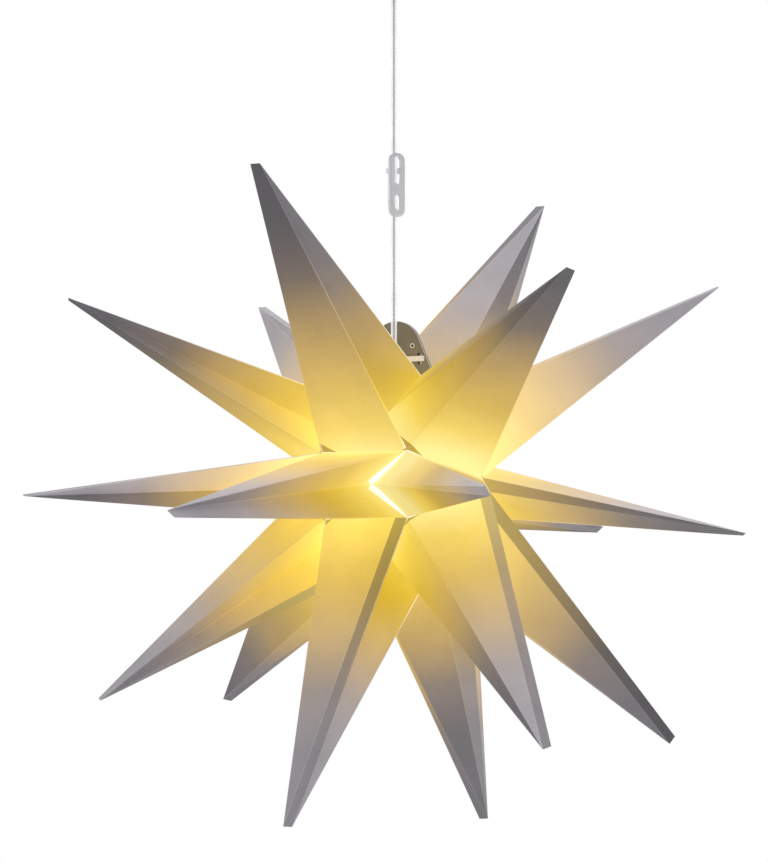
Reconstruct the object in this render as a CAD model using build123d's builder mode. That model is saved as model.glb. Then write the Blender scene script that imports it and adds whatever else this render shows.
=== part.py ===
from build123d import *
import os
from math import cos, radians, sin, sqrt, tan

os.makedirs("parts", exist_ok=True)

# A lit folding star on a flat cord. Millimetres, +Z up.
# The origin is the centre of the ceiling face, the cord hangs along -Z and -Y is the front.

# Where things hang
star_drop = 425.0             # ceiling face to the star's centre
pivot_drop = 24.0             # ceiling face to the centre of the ball that carries the cord
hanger_rise = 239.4           # star's centre to the hanger's centre

# Film star
film = 0.5                    # wall of the film
waist_radius = 70.0           # upper and lower waist corners, from the star's axis
mouth_radius = 36.0           # corners of the top and bottom openings
core_height = 90.0            # star's centre to the highest corner of the top opening
point_reach = 290.0           # star's centre to the end of a usual point
blunt_width = 7.5             # cut end of a point
hem_depth = 7.5               # welded hem that runs inward from each base edge
crease_turn = 22.0            # degrees that a side crease is folded round, off its seam
strip_width = 10.5            # even strip that runs out to the end of some lower points
heart_share = 0.22            # place along a point that its inner walls are drawn toward

# Six seams run from top to bottom. Azimuth 0 is the front, 90 the right.
seam_azimuths = (-54.4, 5.8, 65, 123.3, 185.0, 245)
mouth_azimuths = (-40.1, 30.4, 65, 121.2, 209.8, 245)
closing_seams = (2, 5)        # seams 2 and 5 are stiffened by the closing plates
upper_reach_shares = (1.008, 0.959, 1.017, 1.02, 1.0, 1.008)
lower_reach_shares = (0.955, 1.069, 1.112, 1.016, 1.004, 1.273)
top_share = (0.72, 1.0, 0.735, 0.771, 0.978, 0.804)
upper_share = (0.334, 0.339, 0.134, 0.374, 0.301, 0.201)
lower_share = (-0.22, -0.216, 0.009, -0.177, -0.236, -0.037)
bottom_share = (-0.535, -0.812, -0.618, -0.629, -0.813, -0.69)

# Each point: azimuth and elevation of its end in degrees, and its length as a share of point_reach.
upper_point_share = {
    "front_left": (-31.7, 49.9, 1.035),
    "front_right": (27.9, 30.2, 1.007),
    "right": (95.6, 32.9, 1.041),
    "back_right": (133.0, 56.1, 1.0),
    "back_left": (-150.3, 36.0, 0.983),
    "left": (-79.9, 30.1, 1.007),
}
middle_point_share = {
    "front_left": (-32.3, -4.3, 0.993),
    "front_right": (11.7, -1.5, 0.993),
    "right": (66.9, -6.8, 0.952),
    "back_right": (142.2, -4.4, 0.993),
    "back_left": (-145.0, 0.3, 0.99),
    "left": (-92.4, -0.0, 1.0),
}
lower_point_share = {
    "front_left": (-27.9, -55.2, 1.007),
    "front_right": (26.3, -38.2, 1.007),
    "right": (103.6, -40.6, 1.014),
    "back_right": (148.5, -62.3, 1.007),
    "back_left": (-142.5, -35.5, 0.986),
    "left": (-75.5, -34.0, 0.952),
}

# Closing plates, back to back in the plane of seams 2 and 5
plate = 2.0
fit_gap = 0.1                 # clearance of parts that slide or sit in each other
plate_azimuth = seam_azimuths[closing_seams[0]]
plate_gap = 2 * film + fit_gap    # the two welded hems lie between the plates
tongue_radius = 20.0
tongue_rise = 134.0           # star's centre to the top of the tongue
tongue_lean = 23.0            # slant of the tongue's sides, in degrees
tongue_shoulder = 29.0        # half width where the slanted sides turn down
tongue_shoulder_rise = 97.5
tongue_waist = 30.5           # half width where the tongue enters the opening
tongue_foot = 70.0            # star's centre to the end of the tongue's straight sides
# Shoulder corners beside the tongue, as shares of core_height across and up
right_shoulder_share = (
    (0.26, 0.70), (0.315, 0.70), (0.33, 0.625), (0.415, 0.665), (0.572, 0.445), (0.44, 0.445), (0.26, 0.645)
)
left_shoulder_share = (
    (-0.26, 0.7), (-0.315, 0.7), (-0.33, 0.65), (-0.4, 0.7), (-0.6, 0.445), (-0.47, 0.445), (-0.26, 0.645)
)
bridge_share = ((-0.26, 0.665), (0.26, 0.665))
eyelet_reach = 14.5
eyelet_rise = 114.5
eyelet_bore = 0.95
eyelet_wall = 0.4
eyelet_rim = 0.6
slot_width = 3.0
slot_height = 8.4
slot_reach = 20.3
clip_rise = 104.3
clip_height = 4.0
clip_bar = 1.2
clip_end = 4.2                # bar past the middle of its slot
clip_tail = 1.5               # prong past the back plate

# Flat twin cord
cord_width = 4.6
cord_thick = 2.3
cord_gap = 0.3                # running clearance round the cord

# Cord hanger
hanger_height = 50.0
hanger_width = 14.0
hanger_thick = 3.4
hanger_turn = 35.0
hanger_corner = 6.5
window_height = 22.0
window_width = 7.2
window_rise = 11.5
hook_slot_height = 12.4
hook_slot_width = 6.5
hook_slot_drop = 13.4
keeper = 2.0                  # bar that passes behind the cord
keeper_height = 4.0
edge_round = 0.8

# Lamp
dome_radius = 21.0
dome_wall = 1.5
dome_side = 19.0              # straight side of the diffuser
dome_shoulder = 7.0
dome_neck = 5.0
lamp_top = 40.0               # star's centre to the top of the lamp body
body_radius = 15.0
body_height = 30.0
body_wall = 1.6
board = 1.6
board_recess = 1.0            # lamp body's lower edge to the board
chip = 3.0
chip_height = 0.9
chip_count = 6
chip_circle = 8.5
cap_height = 5.0
boot_height = 11.0
boot_radius = 4.6
boot_grip = 8.0               # length of cord inside the boot

# Ceiling fitting
rose_radius = 45.0
rose_height = 30.0
rose_wall = 1.8
rose_round = 8.0
base = 2.5
base_rim = 7.0
base_radius = rose_radius - rose_wall - fit_gap
screw_reach = 30.0
screw_hole = 2.25
cable_hole = 6.0
grub_radius = 1.5
grub_length = 6.0
grub_head = 2.6
grub_head_height = 1.2
grub_drop = 4.5
grub_turns = (60, 180, 300)
ball_radius = 8.0
ball_clearance = 0.05
seat_radius = 6.2
gland_radius = 11.0
gland_flange = 15.0
gland_flange_height = 3.0
gland_rise = 17.0             # gland body above its flange
nut_height = 4.0
nut_radius = 16.0
mouth_flare = 8.6             # gland mouth at its lower face
swing_limit = 20.0
swing_slack = 2.0             # degrees left free past the swing
cord_head = 8.0               # cord above the ball's centre
driver_length = 40.0
driver_width = 17.0
driver_height = 13.0
driver_reach = 22.5
terminal_length = 22.0
terminal_width = 11.0
terminal_reach = 22.0
terminal_pitch = 7.0
terminal_screw = 2.0
terminal_screw_height = 0.8
lead_radius = 1.2
lead_bend = 5.0
lead_drop = 9.0
lead_run = 27.0               # cord axis to the lead that runs beside the gland
lead_tail = 6.0


def direction(azimuth, elevation=0.0):
    """Unit vector at an azimuth from the front, turned to the right, and an elevation."""
    flat = cos(radians(elevation))
    return Vector(sin(radians(azimuth)) * flat, -cos(radians(azimuth)) * flat, sin(radians(elevation)))


# The cord runs in front of the plates, so the star's axis lies a little behind the cord.
plate_front = plate_gap / 2 + plate
cord_standoff = plate_front + cord_width / 2 + 4 * fit_gap
plate_normal = direction(plate_azimuth - 90)
star_centre = Vector(0, 0, -star_drop) - plate_normal * cord_standoff
seam_count = len(seam_azimuths)


def ring(radius, azimuths, shares, reach_shares=None):
    """Corners of one ring of the core, as vectors from the star's centre."""
    reach_shares = reach_shares or [1.0] * seam_count
    return [
        direction(a) * (radius * r) + Vector(0, 0, core_height * h)
        for a, h, r in zip(azimuths, shares, reach_shares)
    ]


def crease(ring_a, ring_b, seam):
    """Side crease of a seam: the middle of its straight line, folded round the axis."""
    if seam in closing_seams:
        return []
    middle = (ring_a[seam] + ring_b[seam]) * 0.5
    return [middle.rotate(Axis.Z, -crease_turn)]


top_ring = ring(mouth_radius, mouth_azimuths, top_share)
upper_ring = ring(waist_radius, seam_azimuths, upper_share, upper_reach_shares)
lower_ring = ring(waist_radius, seam_azimuths, lower_share, lower_reach_shares)
bottom_ring = ring(mouth_radius, mouth_azimuths, bottom_share)


def base_corners(low_ring, high_ring, seam):
    """Base outline of the point between one seam and the next, counterclockwise from outside."""
    after = (seam + 1) % seam_count
    return (
        [low_ring[seam], low_ring[after]] + crease(low_ring, high_ring, after)
        + [high_ring[after], high_ring[seam]] + crease(low_ring, high_ring, seam)
    )


def with_strip(corners, index):
    """The outline with one more corner, a strip's width along the edge that follows the corner."""
    corner = corners[index]
    ahead = corners[(index + 1) % len(corners)] - corner
    return corners[:index + 1] + [corner + ahead.normalized() * strip_width] + corners[index + 1:]


def turn_corner(corners, edge):
    """Step round the outline, from the blunt edge, to the corner that lies farthest across it."""
    along = corners[(edge + 1) % len(corners)] - corners[edge]
    steps = range(1, len(corners) - 1)
    return max(
        steps, key=lambda n: (corners[(edge + 1 + n) % len(corners)] - corners[edge]).cross(along).length
    )


def folded_walls(tips, corners, edge, turn):
    """Walls from the base outline to a blunt end that is parallel to one base edge."""
    count = len(corners)
    order = [(edge + 1 + n) % count for n in range(count)]
    walls = [[tips[0], corners[edge], corners[order[0]], tips[1]]]
    for n in range(turn):
        walls.append([tips[1], corners[order[n]], corners[order[n + 1]]])
    walls.append([tips[1], corners[order[turn]], tips[0]])
    for n in range(turn, count - 1):
        walls.append([tips[0], corners[order[n]], corners[order[n + 1]]])
    return walls


def hem_step(before, corner, after):
    """Step from a base corner to the inner side of its hem, one film from both seam planes."""
    side_in = before.cross(corner).normalized()
    side_out = corner.cross(after).normalized()
    return (side_in + side_out) * (film / (1 + side_in.dot(side_out)))


def film_point(corners, edge, tip):
    """Hollow point of thin film: outer walls, walls drawn in behind them, and a hem at the base."""
    count = len(corners)
    along = (corners[(edge + 1) % count] - corners[edge]).normalized() * (blunt_width / 2)
    tips = [tip - along, tip + along]
    turn = turn_corner(corners, edge)
    middle = sum(corners, Vector()) * (1 / count)
    heart = middle + (tip - middle) * heart_share
    outer = folded_walls(tips, corners, edge, turn)
    depths = [abs((heart - w[0]).dot((w[1] - w[0]).cross(w[2] - w[0]).normalized())) for w in outer]
    draw_in = 1 - film / (sum(depths) / len(depths))
    inner_tips = [heart + (p - heart) * draw_in for p in tips]
    steps = [hem_step(corners[n - 1], corners[n], corners[(n + 1) % count]) for n in range(count)]
    lined = [corner + step for corner, step in zip(corners, steps)]
    hem_share = 1 - hem_depth / middle.length
    faces = list(outer)
    for wall in folded_walls(inner_tips, lined, edge, turn):
        faces.append([wall[2], wall[1], wall[0]])
        if len(wall) > 3:
            faces.append([wall[3], wall[2], wall[0]])
    for n in range(count):
        after = (n + 1) % count
        hem = [corners[n] * hem_share, corners[after] * hem_share]
        hem_lined = [hem[0] + steps[n], hem[1] + steps[after]]
        faces.append([corners[after], corners[n], hem[0], hem[1]])
        faces.append([hem[1], hem[0], hem_lined[0]])
        faces.append([hem[1], hem_lined[0], hem_lined[1]])
        faces.append([hem_lined[1], hem_lined[0], lined[n], lined[after]])
    placed = [[p + star_centre for p in face] for face in faces]
    return Solid(Shell([Face(Wire.make_polygon(face, close=True)) for face in placed]))


# Film points: three tiers of six.
tiers = {
    "upper": (upper_ring, top_ring, upper_point_share),
    "middle": (lower_ring, upper_ring, middle_point_share),
    "lower": (bottom_ring, lower_ring, lower_point_share),
}
# Lower points with a strip of even width that runs from beside this waist corner out to the end
strip_seams = {("lower", "front_left"): 1, ("lower", "front_right"): 2, ("lower", "right"): 2}
# Middle points whose blunt end lies flat
flat_blunt = (("middle", "right"), ("middle", "left"))

for tier, (low_ring, high_ring, point_share) in tiers.items():
    for seam, (side, (azimuth, elevation, length_share)) in enumerate(point_share.items()):
        after = (seam + 1) % seam_count
        outline = base_corners(low_ring, high_ring, seam)
        blunt_corner = {"upper": low_ring[seam], "middle": low_ring[after], "lower": high_ring[after]}[tier]
        if (tier, side) in flat_blunt:
            blunt_corner = low_ring[seam]
        blunt_edge = outline.index(blunt_corner)
        if (tier, side) in strip_seams:
            blunt_edge = outline.index(high_ring[strip_seams[(tier, side)]])
            outline = with_strip(outline, blunt_edge)
        end = direction(azimuth, elevation) * (point_reach * length_share)
        with BuildPart() as point:
            add(film_point(outline, blunt_edge, end))
        point.part.label = f"point_{tier}_{side}"
        export_step(point.part, f"parts/{point.part.label}.step")

# Closing plates: across the front of the seam plane and across its back
across = direction(plate_azimuth)
plate_plane = Plane(origin=star_centre, x_dir=across, z_dir=plate_normal)
eyelet_spots = [(eyelet_reach, eyelet_rise), (-eyelet_reach, eyelet_rise)]
slot_spots = [(slot_reach, clip_rise), (-slot_reach, clip_rise)]
tongue_middle = tongue_rise - tongue_radius
tangent_reach = tongue_radius * cos(radians(tongue_lean))
tangent_rise = tongue_middle + tongue_radius * sin(radians(tongue_lean))
bridge = [(core_height * a, core_height * b) for a, b in bridge_share]

with BuildSketch() as plate_outline:
    with Locations((0, tongue_middle)):
        Circle(tongue_radius)
    with BuildLine():
        Polyline(
            (-tangent_reach, tangent_rise), (-tongue_shoulder, tongue_shoulder_rise),
            (-tongue_waist, tongue_foot), bridge[0], bridge[1], (tongue_waist, tongue_foot),
            (tongue_shoulder, tongue_shoulder_rise), (tangent_reach, tangent_rise), close=True,
        )
    make_face()
    for shoulder in (right_shoulder_share, left_shoulder_share):
        with BuildLine():
            Polyline(*[(core_height * a, core_height * b) for a, b in shoulder], close=True)
        make_face()
    with Locations(*eyelet_spots):
        Circle(eyelet_bore + eyelet_wall, mode=Mode.SUBTRACT)
    with Locations(*slot_spots):
        Rectangle(slot_width, slot_height, mode=Mode.SUBTRACT)

with BuildPart() as closing_plate_front:
    with BuildSketch(plate_plane.offset(plate_gap / 2)):
        add(plate_outline.sketch)
    extrude(amount=plate)
closing_plate_front.part.label = "closing_plate_front"
export_step(closing_plate_front.part, "parts/closing_plate_front.step")

with BuildPart() as closing_plate_back:
    with BuildSketch(plate_plane.offset(-plate_front)):
        add(plate_outline.sketch)
    extrude(amount=plate)
closing_plate_back.part.label = "closing_plate_back"
export_step(closing_plate_back.part, "parts/closing_plate_back.step")

# Two eyelets hold the plates together: a rolled rim on each face and a web across the middle
eyelet_radius = eyelet_bore + eyelet_wall
rim_radius = eyelet_radius + eyelet_rim
with BuildPart(plate_plane) as plate_eyelets:
    with Locations(*eyelet_spots):
        Cylinder(eyelet_radius, 2 * plate_front)
    with Locations(*[(a, b, plate_front) for a, b in eyelet_spots]):
        Cylinder(rim_radius, eyelet_wall, align=(Align.CENTER, Align.CENTER, Align.MIN))
    with Locations(*[(a, b, -plate_front) for a, b in eyelet_spots]):
        Cylinder(rim_radius, eyelet_wall, align=(Align.CENTER, Align.CENTER, Align.MAX))
    with Locations(*[(a, b, eyelet_wall) for a, b in eyelet_spots]):
        Cylinder(
            eyelet_bore, 2 * plate_front, align=(Align.CENTER, Align.CENTER, Align.MIN), mode=Mode.SUBTRACT
        )
    with Locations(*[(a, b, -eyelet_wall) for a, b in eyelet_spots]):
        Cylinder(
            eyelet_bore, 2 * plate_front, align=(Align.CENTER, Align.CENTER, Align.MAX), mode=Mode.SUBTRACT
        )
plate_eyelets.part.label = "plate_eyelets"
export_step(plate_eyelets.part, "parts/plate_eyelets.step")

# Snap clip: a bar in front of the plates, arched over the cord, with a prong through each slot
arch = cord_width / 2 + cord_gap
bar_back = plate_front + fit_gap
clip_plane = Plane(
    origin=star_centre + Vector(0, 0, clip_rise + clip_height / 2), x_dir=across, z_dir=(0, 0, -1)
)
with BuildPart() as plate_clip:
    with BuildSketch(clip_plane):
        with Locations((0, cord_standoff)):
            Circle(arch + clip_bar)
            Rectangle(2 * (arch + clip_bar), cord_standoff, align=(Align.CENTER, Align.MAX))
            Circle(arch, mode=Mode.SUBTRACT)
            Rectangle(2 * arch, 2 * cord_standoff, align=(Align.CENTER, Align.MAX), mode=Mode.SUBTRACT)
        with Locations((0, bar_back)):
            Rectangle(
                4 * arch, 2 * cord_standoff, align=(Align.CENTER, Align.MAX), mode=Mode.SUBTRACT
            )
        with Locations((arch, bar_back)):
            Rectangle(slot_reach + clip_end - arch, clip_bar, align=(Align.MIN, Align.MIN))
        with Locations((-arch, bar_back)):
            Rectangle(slot_reach + clip_end - arch, clip_bar, align=(Align.MAX, Align.MIN))
        with Locations((slot_reach, bar_back), (-slot_reach, bar_back)):
            Rectangle(
                slot_width - 2 * fit_gap, bar_back + plate_front + clip_tail, align=(Align.CENTER, Align.MAX)
            )
    extrude(amount=clip_height)
plate_clip.part.label = "plate_clip"
export_step(plate_clip.part, "parts/plate_clip.step")

# Cord: two round cores side by side, from the ball to the lamp's boot
strand = cord_thick / 2
cord_top = cord_head - pivot_drop
cord_foot = lamp_top + cap_height + boot_height - boot_grip - star_drop
with BuildSketch() as cord_outline:
    with Locations((cord_width / 2 - strand, 0), (strand - cord_width / 2, 0)):
        Circle(strand)
    Rectangle(cord_width - cord_thick, strand)
with BuildPart() as cord:
    with BuildSketch(Plane.XY.offset(cord_foot)):
        add(cord_outline.sketch)
    extrude(amount=cord_top - cord_foot)
cord.part.label = "cord"
export_step(cord.part, "parts/cord.step")

# Hanger: in front of the cord, with a keeper that passes behind it in the window
facing = direction(hanger_turn)
cord_depth = strand + (cord_width / 2 - strand) * sin(radians(hanger_turn)) + cord_gap
cord_side = strand + (cord_width / 2 - strand) * cos(radians(hanger_turn)) + cord_gap
hanger_back = Plane(
    origin=Vector(0, 0, hanger_rise - star_drop) + facing * cord_depth,
    x_dir=direction(hanger_turn + 90), z_dir=facing,
)
keeper_plane = Plane(
    origin=Vector(0, 0, hanger_rise + window_rise + keeper_height / 2 - star_drop),
    x_dir=direction(hanger_turn + 90), z_dir=(0, 0, -1),
)
with BuildPart() as cord_hanger:
    with BuildSketch(hanger_back):
        RectangleRounded(hanger_width, hanger_height, hanger_corner)
        with Locations((0, window_rise)):
            SlotOverall(window_height, window_width, rotation=90, mode=Mode.SUBTRACT)
        with Locations((0, -hook_slot_drop)):
            SlotOverall(hook_slot_height, hook_slot_width, rotation=90, mode=Mode.SUBTRACT)
    extrude(amount=hanger_thick)
    front_face = cord_hanger.faces().sort_by(Axis(origin=(0, 0, 0), direction=facing))[-1]
    fillet(front_face.outer_wire().edges(), edge_round)
    with BuildSketch(keeper_plane):
        with Locations((0, cord_depth + edge_round)):
            Rectangle(
                2 * (cord_side + keeper), 2 * cord_depth + keeper + edge_round,
                align=(Align.CENTER, Align.MAX)
            )
        Rectangle(2 * cord_side, 2 * cord_depth, mode=Mode.SUBTRACT)
        with Locations((0, cord_depth)):
            Rectangle(2 * cord_side, 2 * edge_round, mode=Mode.SUBTRACT)
    extrude(amount=keeper_height)
cord_hanger.part.label = "cord_hanger"
export_step(cord_hanger.part, "parts/cord_hanger.step")

# Lamp inside the star, on the cord's axis
body_foot = lamp_top - body_height - star_drop
body_head = lamp_top - star_drop
with BuildPart() as lamp_cap:
    with Locations((0, 0, body_head)):
        Cylinder(body_radius, cap_height, align=(Align.CENTER, Align.CENTER, Align.MIN))
    chamfer(lamp_cap.faces().sort_by(Axis.Z)[-1].outer_wire().edges(), body_wall)
    with Locations((0, 0, body_head + cap_height)):
        Cone(
            boot_radius + body_wall, boot_radius, boot_height,
            align=(Align.CENTER, Align.CENTER, Align.MIN)
        )
    with BuildSketch(Plane.XY.offset(cord_foot)):
        add(cord_outline.sketch)
    extrude(amount=boot_grip, mode=Mode.SUBTRACT)
lamp_cap.part.label = "lamp_cap"
export_step(lamp_cap.part, "parts/lamp_cap.step")

with BuildPart() as lamp_body:
    with Locations((0, 0, body_foot)):
        Cylinder(body_radius, body_height, align=(Align.CENTER, Align.CENTER, Align.MIN))
        Cylinder(
            body_radius - body_wall, body_height, align=(Align.CENTER, Align.CENTER, Align.MIN),
            mode=Mode.SUBTRACT,
        )
lamp_body.part.label = "lamp_body"
export_step(lamp_body.part, "parts/lamp_body.step")

with BuildPart() as led_board:
    with Locations((0, 0, body_foot + board_recess)):
        Cylinder(body_radius - body_wall, board, align=(Align.CENTER, Align.CENTER, Align.MIN))
led_board.part.label = "led_board"
export_step(led_board.part, "parts/led_board.step")

with BuildPart() as leds:
    with Locations((0, 0, body_foot + board_recess)):
        with PolarLocations(chip_circle, chip_count):
            Box(chip, chip, chip_height, align=(Align.CENTER, Align.CENTER, Align.MAX))
leds.part.label = "leds"
export_step(leds.part, "parts/leds.step")

# Diffuser: neck round the lamp body, shoulder, straight side and round end
dome_middle = body_foot - dome_shoulder - dome_side
with BuildPart() as lamp_diffuser:
    for wall, radius_in in ((0, body_radius + dome_wall), (dome_wall, body_radius)):
        shell_mode = Mode.SUBTRACT if wall else Mode.ADD
        with Locations((0, 0, dome_middle)):
            Sphere(dome_radius - wall, mode=shell_mode)
            Cylinder(
                dome_radius - wall, dome_side, align=(Align.CENTER, Align.CENTER, Align.MIN), mode=shell_mode
            )
        with Locations((0, 0, body_foot - dome_shoulder)):
            Cone(
                dome_radius - wall, radius_in, dome_shoulder,
                align=(Align.CENTER, Align.CENTER, Align.MIN), mode=shell_mode,
            )
        with Locations((0, 0, body_foot)):
            Cylinder(radius_in, dome_neck, align=(Align.CENTER, Align.CENTER, Align.MIN), mode=shell_mode)
lamp_diffuser.part.label = "lamp_diffuser"
export_step(lamp_diffuser.part, "parts/lamp_diffuser.step")

# Ceiling fitting: base plate under the ceiling, cover, gland, nut and ball
grub_planes = [
    Plane(origin=direction(a) * rose_radius - Vector(0, 0, grub_drop), z_dir=direction(a))
    for a in grub_turns
]
with BuildPart() as rose_base:
    Cylinder(base_radius, base_rim, align=(Align.CENTER, Align.CENTER, Align.MAX))
    with Locations((0, 0, -base)):
        Cylinder(
            base_radius - base, base_rim, align=(Align.CENTER, Align.CENTER, Align.MAX), mode=Mode.SUBTRACT
        )
    with Locations((screw_reach, 0), (-screw_reach, 0)):
        Cylinder(screw_hole, 2 * base_rim, mode=Mode.SUBTRACT)
    Cylinder(cable_hole, 2 * base_rim, mode=Mode.SUBTRACT)
    with Locations(*grub_planes):
        Cylinder(grub_radius, 2 * grub_length, mode=Mode.SUBTRACT)
rose_base.part.label = "rose_base"
export_step(rose_base.part, "parts/rose_base.step")

with BuildPart() as rose_cover:
    Cylinder(rose_radius, rose_height, align=(Align.CENTER, Align.CENTER, Align.MAX))
    fillet(rose_cover.faces().sort_by(Axis.Z)[0].outer_wire().edges(), rose_round)
    offset(amount=-rose_wall, openings=rose_cover.faces().sort_by(Axis.Z)[-1])
    Cylinder(gland_radius, 4 * rose_height, mode=Mode.SUBTRACT)
    with Locations(*grub_planes):
        Cylinder(grub_radius, 2 * grub_length, mode=Mode.SUBTRACT)
rose_cover.part.label = "rose_cover"
export_step(rose_cover.part, "parts/rose_cover.step")

with BuildPart() as cover_screws:
    with Locations(*grub_planes):
        Cylinder(grub_head, grub_head_height, align=(Align.CENTER, Align.CENTER, Align.MIN))
        Cylinder(grub_radius, grub_length, align=(Align.CENTER, Align.CENTER, Align.MAX))
        Box(2 * grub_head, grub_head_height / 2, grub_head_height, mode=Mode.SUBTRACT)
cover_screws.part.label = "cover_screws"
export_step(cover_screws.part, "parts/cover_screws.step")

seat_drop = sqrt(ball_radius ** 2 - seat_radius ** 2)
with BuildPart() as rose_gland:
    with Locations((0, 0, -rose_height)):
        Cylinder(gland_flange, gland_flange_height, align=(Align.CENTER, Align.CENTER, Align.MAX))
        Cylinder(gland_radius, gland_rise, align=(Align.CENTER, Align.CENTER, Align.MIN))
    with Locations((0, 0, -pivot_drop)):
        Sphere(ball_radius + ball_clearance, mode=Mode.SUBTRACT)
        Cylinder(
            ball_radius + ball_clearance, rose_height, align=(Align.CENTER, Align.CENTER, Align.MIN),
            mode=Mode.SUBTRACT,
        )
    with Locations((0, 0, -rose_height - gland_flange_height)):
        Cone(
            mouth_flare, seat_radius, rose_height + gland_flange_height - pivot_drop - seat_drop,
            align=(Align.CENTER, Align.CENTER, Align.MIN), mode=Mode.SUBTRACT,
        )
rose_gland.part.label = "rose_gland"
export_step(rose_gland.part, "parts/rose_gland.step")

with BuildPart() as gland_nut:
    with BuildSketch(Plane.XY.offset(rose_wall - rose_height)):
        RegularPolygon(nut_radius, 6)
        Circle(gland_radius, mode=Mode.SUBTRACT)
    extrude(amount=nut_height)
gland_nut.part.label = "gland_nut"
export_step(gland_nut.part, "parts/gland_nut.step")

# Ball with a flared hole, so that the cord can swing both ways in it
pocket = cord_width / 2 + cord_gap
pocket_flare = pocket + ball_radius * tan(radians(swing_limit + swing_slack))
with BuildPart() as cord_stop:
    with Locations((0, 0, -pivot_drop)):
        Sphere(ball_radius)
        Cone(
            pocket, pocket_flare, ball_radius, align=(Align.CENTER, Align.CENTER, Align.MIN),
            mode=Mode.SUBTRACT,
        )
        Cone(
            pocket_flare, pocket, ball_radius, align=(Align.CENTER, Align.CENTER, Align.MAX),
            mode=Mode.SUBTRACT,
        )
cord_stop.part.label = "cord_stop"
export_step(cord_stop.part, "parts/cord_stop.step")

with BuildPart() as led_driver:
    with Locations((0, driver_reach, -base)):
        Box(driver_length, driver_width, driver_height, align=(Align.CENTER, Align.CENTER, Align.MAX))
    chamfer(led_driver.faces().sort_by(Axis.Z)[0].outer_wire().edges(), edge_round)
led_driver.part.label = "led_driver"
export_step(led_driver.part, "parts/led_driver.step")

with BuildPart() as terminal_block:
    with Locations((0, -terminal_reach, -base)):
        Box(terminal_length, terminal_width, terminal_width, align=(Align.CENTER, Align.CENTER, Align.MAX))
    with Locations((0, -terminal_reach, -base - terminal_width)):
        with GridLocations(terminal_pitch, terminal_pitch, 3, 1):
            Cylinder(terminal_screw, terminal_screw_height, align=(Align.CENTER, Align.CENTER, Align.MAX))
terminal_block.part.label = "terminal_block"
export_step(terminal_block.part, "parts/terminal_block.step")

# Lead from the terminal block to the driver, and the lamp's lead from the driver into the gland
with BuildPart() as supply_lead:
    with BuildLine() as supply_route:
        FilletPolyline(
            (-driver_length / 2, driver_reach, -lead_drop), (-lead_run, driver_reach, -lead_drop),
            (-lead_run, -terminal_reach, -lead_drop), (-terminal_length / 2, -terminal_reach, -lead_drop),
            radius=lead_bend,
        )
    with BuildSketch(Plane(origin=supply_route.line @ 0, z_dir=supply_route.line % 0)):
        Circle(lead_radius)
    sweep()
supply_lead.part.label = "supply_lead"
export_step(supply_lead.part, "parts/supply_lead.step")

with BuildPart() as lamp_lead:
    with BuildLine() as lamp_route:
        FilletPolyline(
            (0, driver_reach - driver_width / 2, -lead_drop), (0, 0, -lead_drop),
            (0, 0, -lead_drop - lead_tail), radius=lead_bend,
        )
    with BuildSketch(Plane(origin=lamp_route.line @ 0, z_dir=lamp_route.line % 0)):
        Circle(lead_radius)
    sweep()
lamp_lead.part.label = "lamp_lead"
export_step(lamp_lead.part, "parts/lamp_lead.step")
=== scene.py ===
import math
import bmesh
import bpy
import numpy as np
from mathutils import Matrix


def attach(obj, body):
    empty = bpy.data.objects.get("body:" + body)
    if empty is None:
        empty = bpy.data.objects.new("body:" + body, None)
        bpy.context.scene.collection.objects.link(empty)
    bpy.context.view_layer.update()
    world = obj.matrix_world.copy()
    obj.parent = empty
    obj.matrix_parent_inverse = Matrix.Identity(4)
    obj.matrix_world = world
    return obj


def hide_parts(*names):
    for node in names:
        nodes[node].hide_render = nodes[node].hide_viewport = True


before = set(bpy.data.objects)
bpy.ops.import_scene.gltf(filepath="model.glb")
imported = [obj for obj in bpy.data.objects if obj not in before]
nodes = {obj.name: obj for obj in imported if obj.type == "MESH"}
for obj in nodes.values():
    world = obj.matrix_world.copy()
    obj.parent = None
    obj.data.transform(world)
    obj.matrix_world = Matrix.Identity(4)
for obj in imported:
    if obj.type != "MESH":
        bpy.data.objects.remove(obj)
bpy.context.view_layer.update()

# Sizes in millimetres, turned into metres where a mesh or a material needs them
METRE = 0.001
STAR_DROP = 425.0
PIVOT_DROP = 24.0
CORD_HEAD = 8.0
PLATE = 2.0
FILM_GAP = 1.1
CORD_WIDTH = 4.6
CORD_THICK = 2.3
FIT = 0.1
PLATE_AZIMUTH = 65.0

WAIST_RADIUS = 70.0
MOUTH_RADIUS = 36.0
CORE_HEIGHT = 90.0
POINT_REACH = 290.0
BLUNT_WIDTH = 7.5
HEM = 7.5
CREASE_TURN = 22.0
FILM = 0.35

rng = np.random.default_rng(7)


def direction(azimuth, elevation=0.0):
    """Unit vector at an azimuth from the front, turned to the right, and an elevation, in degrees."""
    a, e = math.radians(azimuth), math.radians(elevation)
    return np.array([math.sin(a) * math.cos(e), -math.cos(a) * math.cos(e), math.sin(e)])


plate_across = direction(PLATE_AZIMUTH)
plate_normal = direction(PLATE_AZIMUTH - 90)
standoff = FILM_GAP / 2 + PLATE + CORD_WIDTH / 2 + 4 * FIT
STAR = np.array([0, 0, -STAR_DROP]) - plate_normal * standoff


def add_object(name, data):
    """New object at the origin of the scene."""
    item = bpy.data.objects.new(name, data)
    bpy.context.scene.collection.objects.link(item)
    return item


# Camera: 1.92 m in front, a little below the star's centre, tilted up
CAMERA_AT = (-7.7, -1921.4, -493.6)
CAMERA_TILT = 3.5
FOCAL_PIXELS = 2500.0
PICTURE_WIDTH = 768
SENSOR = 36.0
VIEW_END = 50


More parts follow.
